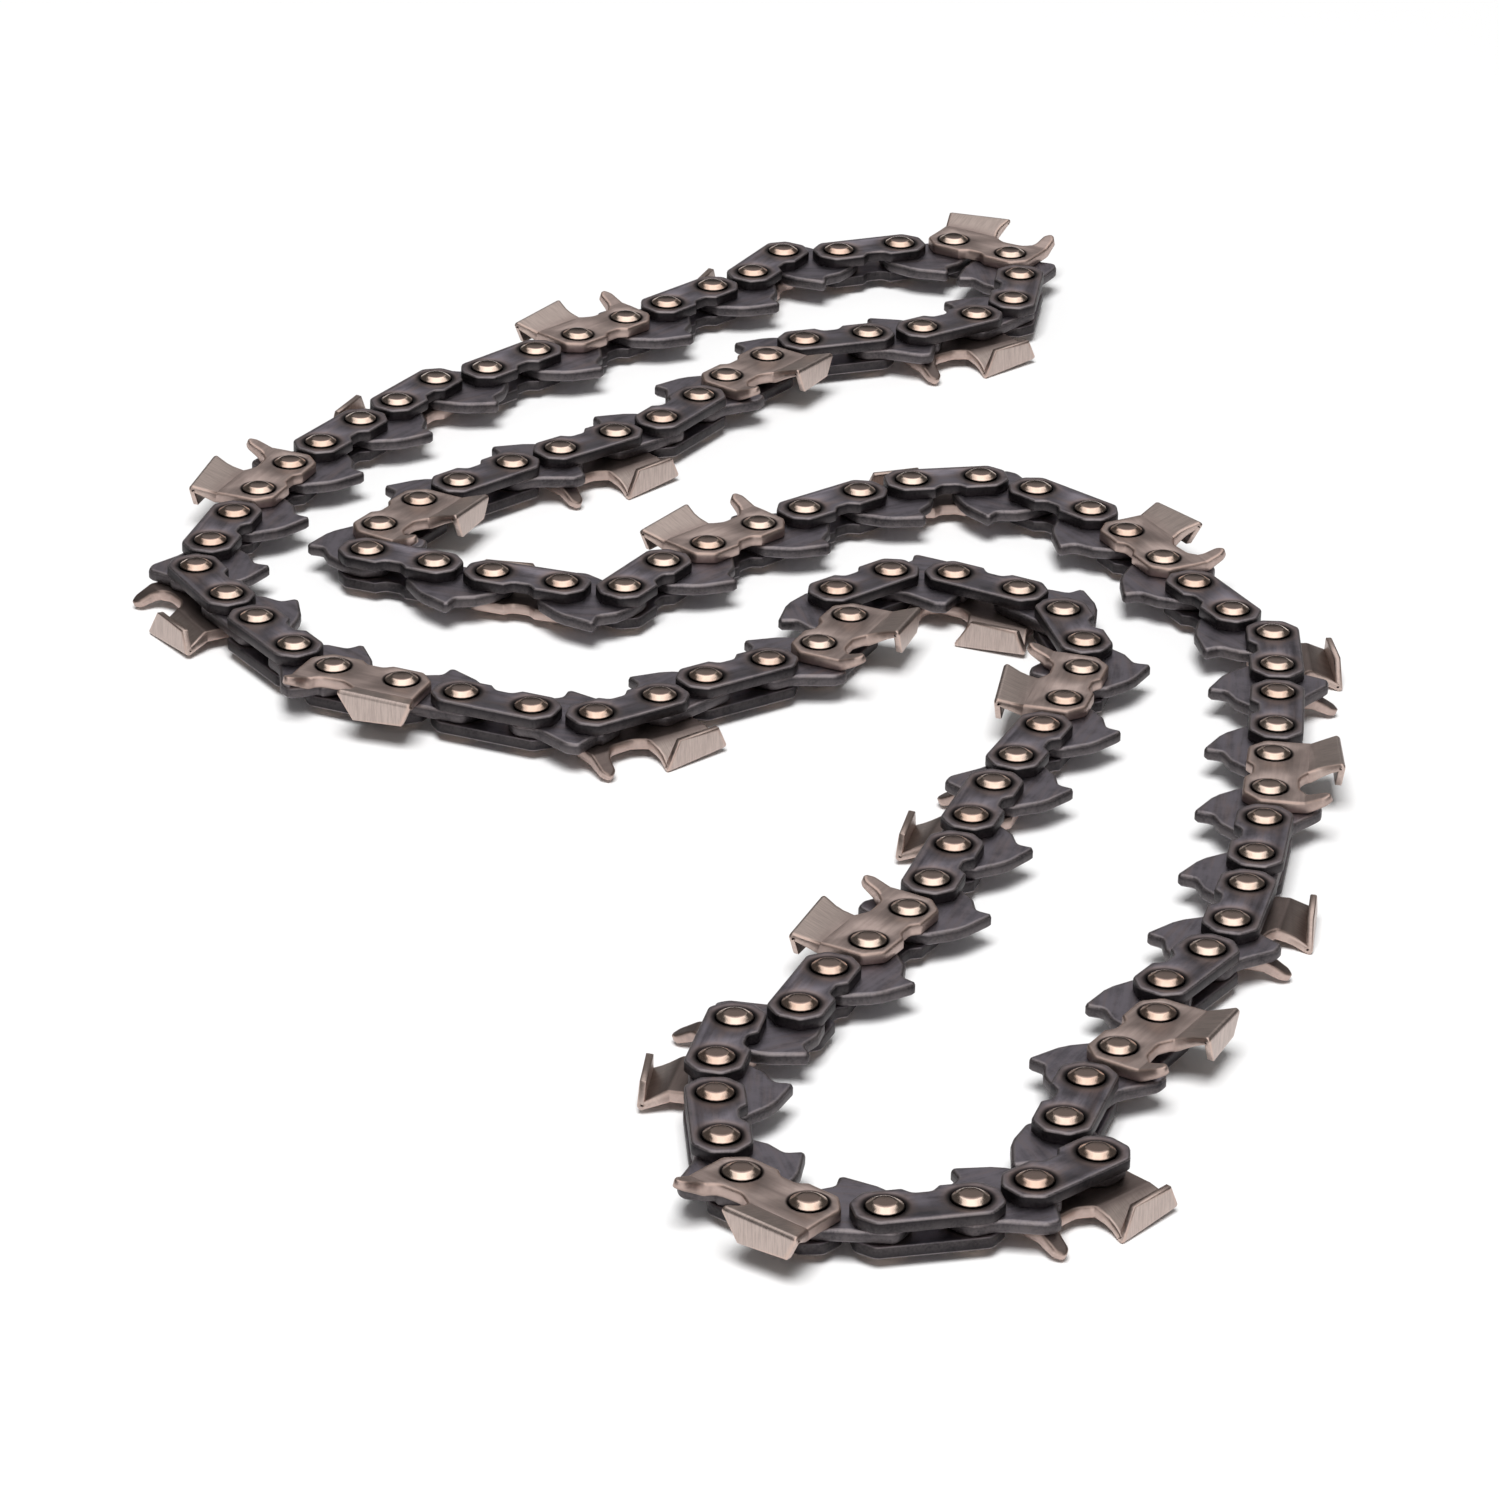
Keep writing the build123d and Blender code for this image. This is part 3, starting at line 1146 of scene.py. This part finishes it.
@dataclass(frozen=True)
class SawChain:
    """The whole loop: outlines of its links, and the rows that they lie in.

    On a flat link x runs along the chain, and y from the cutters' side to the bar's.
    """

    sizes: ChainSizes
    hole_radius: float = 1.97
    hole_mouth: float = 2.25
    hole_sink: float = 0.3
    waist_mouth: float = 1.95
    waist_mouth_round: float = 0.35
    waist_floor: float = 1.0
    waist_floor_round: float = 0.9
    strap_side: float = 3.2
    strap_corner: float = 1.8
    strap_round: float = 1.1
    strap_waist: float = 1.0
    ear_end: float = 3.0
    ear_side: float = 2.9
    ear_corner: float = 1.5
    ear_corner_round: float = 1.4
    ear_end_round: float = 2.6
    tang: tuple[Corner, ...] = (
        Corner(6.2, 3.3, 1.0),
        Corner(3.5, 6.25, 3.6),
        Corner(-0.7, 8.1, 0.5),
        Corner(-1.2, 7.8, 0.3),
        Corner(-1.4, 6.1, 0.8),
        Corner(-3.6, 5.0, 0.3),
        Corner(-5.4, 2.9, 1.0),
    )
    guard: tuple[Corner, ...] = (
        Corner(-2.4, -3.2, 3.0),
        Corner(1.5, -6.1, 1.3),
        Corner(3.2, -6.2, 0.9),
        Corner(4.7, -2.9, 0.8),
    )
    cutter_side: float = 3.0
    cutter_corner: float = 1.9
    cutter_round: float = 1.0
    cutter_waist: float = 0.8
    cutter_back: float = 4.0
    cutter_rise: float = 8.4
    shoulder: float = 5.9
    shoulder_set: float = 0.72
    crest_lift: float = 0.05
    top_thickness: float = 0.8
    top_front: float = 3.4
    top_rear: float = 2.5
    top_lean: float = 0.15
    edge_x: float = 0.2
    heel_x: float = 9.0
    edge_sweep: float = 27.0
    heel_sweep: float = 24.0
    gullet: tuple[Corner, ...] = (
        Corner(-7.1, -7.7, 0.8),
        Corner(-6.1, -6.9, 0.8),
        Corner(-5.8, -5.0, 1.2),
        Corner(-4.5, -3.5, 1.4),
        Corner(-1.6, -3.3, 1.6),
    )

    def tie_strap(self) -> StampedPlate:
        """Plain side plate with octagonal ends and a waist notch.

        Returns:
            The strap.
        """
        end = self.sizes.plate_half
        side, cut, soft = self.strap_side, self.strap_corner, self.strap_round
        corners = [
            Corner(-end + cut, -side, soft),
            Corner(end - cut, -side, soft),
            Corner(end, -side + cut, soft),
            *self._bar_side(side, cut, soft, self.strap_waist),
            Corner(-end, -side + cut, soft),
        ]
        return StampedPlate("tie_strap", corners, self.sizes.plate, self._rivet_holes())

    def _bar_side(self, side: float, cut: float, soft: float, depth: float) -> list[Corner]:
        """Bar side of a plate, from +X to -X.

        Args:
            side: How far it lies from the rivets.
            cut: How far its ends are cut off.
            soft: Radius of their corners.
            depth: Depth of the waist notch.

        Returns:
            The corners.
        """
        end = self.sizes.plate_half
        half = [
            Corner(end, side - cut, soft),
            Corner(end - cut, side, soft),
            Corner(self.waist_mouth, side, self.waist_mouth_round),
            Corner(self.waist_floor, side - depth, self.waist_floor_round),
        ]
        return half + [Corner(-corner.x, corner.y, corner.radius) for corner in reversed(half)]

    def _rivet_holes(self) -> list[Hole]:
        """Countersunk holes of a side plate."""
        half = self.sizes.strap_spacing / 2
        return [Hole(x, 0.0, self.hole_radius, self.hole_mouth, self.hole_sink) for x in (-half, half)]

    def drive_link(self, guarded: bool) -> StampedPlate:
        """Centre link with a hooked tang, and a guard hump where one is wanted.

        Args:
            guarded: Whether the link stands ahead of a cutter and has the hump.

        Returns:
            The link.
        """
        half = self.sizes.link_spacing / 2
        end, side = half + self.ear_end, self.ear_side
        corners = [
            Corner(end - self.ear_corner, -side, self.ear_corner_round),
            Corner(end, 0.0, self.ear_end_round),
            *self.tang,
            Corner(-end, 0.0, self.ear_end_round),
            Corner(-end + self.ear_corner, -side, self.ear_corner_round),
            *(self.guard if guarded else ()),
        ]
        holes = [Hole(x, 0.0, self.hole_radius, self.hole_radius, 0.0) for x in (-half, half)]
        name = "guard_link" if guarded else "drive_link"
        return StampedPlate(
            name, corners, self.sizes.gauge, holes, rolled_edge=0.36, back_edge=0.34, wall_wear=0.2
        )

    def cutter(self) -> BentCutter:
        """Cutter of the upper row, on the flat sheet that it is folded from.

        Returns:
            The cutter.
        """
        plate = self.sizes.plate
        end = self.sizes.plate_half
        wall, back, side, cut = self.top_thickness, self.cutter_back, self.cutter_side, self.cutter_corner
        soft = self.cutter_round
        middle = plate / 2
        outside = plate + self.sizes.cutter_set
        crest = self.cutter_rise - wall / 2
        section = [
            Corner(-back, middle),
            Corner(-back - 0.3, middle, 1.0),
            Corner(-self.shoulder, middle + self.shoulder_set, 1.5),
            Corner(-crest, outside - wall / 2 + self.crest_lift, 0.08),
            Corner(-crest + self.top_lean, outside - self.top_front),
        ]
        fold = folded_section(section)
        lengths = [(b - a).length for a, b in zip(fold, fold[1:])]
        bend = back + sum(lengths[:-1])
        edge_x, heel_x = self.edge_x, self.heel_x
        sweep = self.top_front * math.tan(math.radians(self.edge_sweep))
        heel = self.top_rear * math.tan(math.radians(self.heel_sweep))
        corners = [
            Corner(-end - 0.1, -2.6, 1.0),
            Corner(-end, -6.6, 0.9),
            *self.gullet,
            Corner(edge_x - 0.2, -back - 0.2, 0.9),
            Corner(edge_x + 0.35, -6.2, 2.0),
            Corner(edge_x - 0.1, -bend, 0.0),
            Corner(edge_x + sweep, -bend - self.top_front, 0.0),
            Corner(heel_x - heel, -bend - self.top_rear, 0.2),
            Corner(heel_x, -bend, 0.0),
            Corner(end + 0.1, -back - 0.2, 0.8),
            Corner(end, -back + cut, soft),
            *self._bar_side(side, cut, soft, self.cutter_waist),
        ]
        return BentCutter(
            "cutter", corners, plate, self._rivet_holes(), rolled_edge=0.28, back_edge=0.16, wall_wear=0.3,
            fold=fold, fold_start=back, edge_x=edge_x, heel_x=heel_x, top_thickness=wall,
        )

    def _rows(self, lay: Lay) -> list[LinkRow]:
        """Rows of links, in the order in which their tones are drawn.

        Args:
            lay: Seats of the links.

        Returns:
            The rows.
        """
        sizes = self.sizes
        top, low = sizes.link_top, sizes.link_floor
        strap, cutter = self.tie_strap(), self.cutter()
        blued = BluedSteel().make()
        # Drive links get less brown temper and less painted wall shade.
        darker = BluedSteel("blued_link", half_spacing=sizes.link_spacing / 2, halo=0.2, wall_oxide_and_shade=0.85).make()
        plated = CutterSteel().make()
        plan = (
            ("tie_straps_upper", "tie_straps_", Slot.BLUED, strap.build(Row.UPPER), blued, top, (1, 2, 3)),
            ("tie_straps_lower", "tie_straps_", Slot.BLUED, strap.build(Row.LOWER), blued, low, (0, 1, 3)),
            ("cutters_right", "right_cutter_", Slot.CUTTER, cutter.build(Row.UPPER), plated, top, (0,)),
            ("cutters_left", "left_cutter_", Slot.CUTTER, cutter.build(Row.LOWER), plated, low, (2,)),
        )
        rows = [LinkRow(*shared, lay.links(turns)) for *shared, turns in plan]
        for name, guarded, turns in (("plain", False, (0, 2)), ("guarded", True, (1, 3))):
            link = self.drive_link(guarded).build(Row.UPPER)
            shared = (f"drive_links_{name}", "drive_links_", Slot.BLUED, link, darker, low)
            rows.append(LinkRow(*shared, lay.links(turns, 1)))
        middle = low + sizes.gauge / 2
        shared = ("rivets", "rivet_heads", Slot.RIVET, Rivet(sizes).build(), RivetSteel().make(), middle)
        rows.append(LinkRow(*shared, lay.rivets()))
        return rows

    def build(self, lay: Lay) -> list[Object]:
        """Make every row of links, each as one piece in place of its solids.

        Args:
            lay: Seats of the links.

        Returns:
            The pieces.
        """
        draw = random.Random(SEED)
        rows = self._rows(lay)
        pieces = [row.lay_out(draw) for row in rows]
        for row, piece in zip(rows, pieces):
            row.hand_over(piece)
        return pieces


@dataclass(frozen=True)
class Studio:
    """Camera, pale floor and soft light round the chain."""

    lay: Lay
    focal_pixels: float = 6314.5
    sensor: float = 36.0
    clip_near: float = 10.0
    clip_far: float = 20000.0
    tilt: float = 63.846
    roll: float = 1.49
    stand_back: float = 677.32
    stand_right: float = 2.69
    stand_up: float = 324.01
    floor_side: float = 3000.0
    paper: Colour = tint(0.97, 0.97, 0.97)
    light: Colour = tint(1.0, 0.99, 0.98)
    room: float = 0.06
    fill: float = 0.2
    lean: float = 0.45
    right: float = 0.04
    wall: float = 0.38
    wall_height: Pair = (-0.08, 0.03)
    wall_width: Pair = (0.38, 0.2)
    soft_box: float = 0.94
    box_height: Pair = (0.26, 0.5)
    box_width: Pair = (0.55, 0.41)
    backdrop: float = 0.25
    backdrop_height: Pair = (0.24, 0.08)
    backdrop_depth: Pair = (0.86, 0.95)
    key_place: Triple = (-250.0, -2000.0, 4200.0)
    key_side: float = 2200.0
    key_power: float = 228.0

    def build(self) -> None:
        """Make the camera, floor, world and lamp."""
        bpy.context.scene.view_settings.view_transform = "Standard"
        self._camera()
        self._floor()
        self._world()
        self._key()

    def _camera(self) -> None:
        """Camera at the photograph's viewing angle."""
        data = bpy.data.cameras.new("camera")
        data.sensor_width = self.sensor
        data.lens = self.focal_pixels / IMAGE_SIDE * self.sensor
        data.clip_start = self.clip_near * MM
        data.clip_end = self.clip_far * MM
        camera = put("camera", data)
        x, y = self.lay.middle(0), self.lay.middle(1)
        place = Vector((x + self.stand_right, y - self.stand_back, self.stand_up))
        tilt = Matrix.Rotation(math.radians(self.tilt), 4, "X")
        roll = Matrix.Rotation(math.radians(self.roll), 4, "Z")
        camera.matrix_world = Matrix.Translation(place * MM) @ tilt @ roll
        bpy.context.scene.camera = camera

    def _floor(self) -> None:
        """Plain white floor that takes the chain's shadow."""
        half = self.floor_side / 2 * MM
        mesh = bpy.data.meshes.new("floor")
        corners = [(-half, -half, 0.0), (half, -half, 0.0), (half, half, 0.0), (-half, half, 0.0)]
        mesh.from_pydata(corners, [], [(0, 1, 2, 3)])
        floor = put("floor", mesh)
        material = bpy.data.materials.new("white_paper")
        material.use_nodes = True
        graph = Graph(material.node_tree)
        shader = graph.add("ShaderNodeBsdfDiffuse", {"Color": self.paper})
        graph.end("ShaderNodeOutputMaterial", shader)
        mesh.materials.append(material)

    def _world(self) -> None:
        """Soft box overhead that reaches down in front, and a dark room with a low pale backdrop behind.

        Only rays that look at the room see its zones; the others find an even fill.
        """
        world = bpy.data.worlds.new("studio")
        world.use_nodes = True
        bpy.context.scene.world = world
        graph = Graph(world.node_tree)
        x, y, z = graph.axes(graph.add("ShaderNodeTexCoord", {}, "Generated"))
        height = z - y * self.lean
        aside = abs(x - self.right)
        wall = height.ramp(*self.wall_height) * aside.ramp(*self.wall_width) * self.wall
        box = height.ramp(*self.box_height) * aside.ramp(*self.box_width) * self.soft_box
        low = z.ramp(*self.backdrop_height) * y.ramp(*self.backdrop_depth) * self.backdrop
        kinds = ("Camera", "Glossy", "Transmission")
        rays = [graph.add("ShaderNodeLightPath", {}, f"Is {kind} Ray") for kind in kinds]
        looking = rays[0] + rays[1] + rays[2]
        even, zoned = [
            graph.add("ShaderNodeBackground", {"Color": self.light, "Strength": level})
            for level in (self.fill, self.room + wall + box + low)
        ]
        shader = graph.add("ShaderNodeMixShader", {0: looking, 1: even, 2: zoned})
        graph.end("ShaderNodeOutputWorld", shader)

    def _key(self) -> None:
        """Large square lamp above and in front, which leaves the shadows under the chain."""
        data = bpy.data.lights.new("key", "AREA")
        data.energy = self.key_power
        data.size = self.key_side * MM
        lamp = put("key", data)
        where = Vector(self.key_place) * MM
        facing = (-where).to_track_quat("-Z", "Y").to_matrix().to_4x4()
        lamp.matrix_world = Matrix.Translation(where) @ facing
        lamp.visible_glossy = False


def main() -> None:
    """Build the chain and its studio, and report the pieces."""
    logging.basicConfig(level=logging.INFO)
    sizes = ChainSizes()
    lay = Lay(sizes)
    pieces = SawChain(sizes).build(lay)
    Studio(lay).build()
    for piece in pieces:
        LOG.info("%s: %d faces", piece.name, len(piece.data.polygons))


if __name__ == "__main__":
    main()
